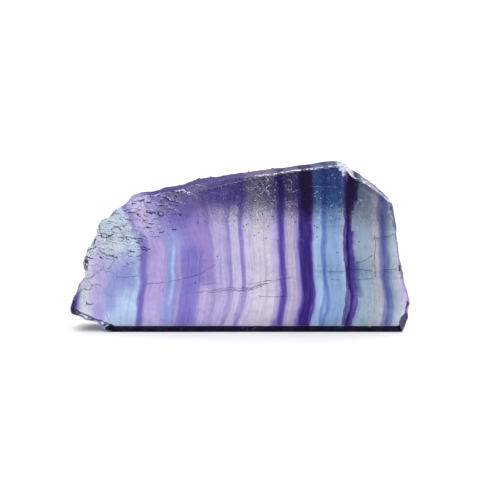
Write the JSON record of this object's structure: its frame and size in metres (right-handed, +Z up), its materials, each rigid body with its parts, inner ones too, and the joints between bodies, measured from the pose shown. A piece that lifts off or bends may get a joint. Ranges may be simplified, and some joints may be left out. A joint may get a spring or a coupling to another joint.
{
  "type": "fluorite slice",
  "caption": "Free-standing sawn slice of banded rainbow fluorite: two flat faces, a flat sawn foot and broken, chipped edges.",
  "frame": {"origin": "middle of the slice's box, on the plane of its sawn foot", "axes": "+Z up, X along the slice's length, -Y out of the show face, +Y out of the back face"},
  "size_m": [0.11, 0.01, 0.0548],
  "materials": {
    "fluorite": "see-through banded stone in violet, lilac and blue, flat faces lightly polished, edges broken"
  },
  "bodies": {
    "root": {"fluorite_slice": "fluorite"}
  },
  "joints": []
}
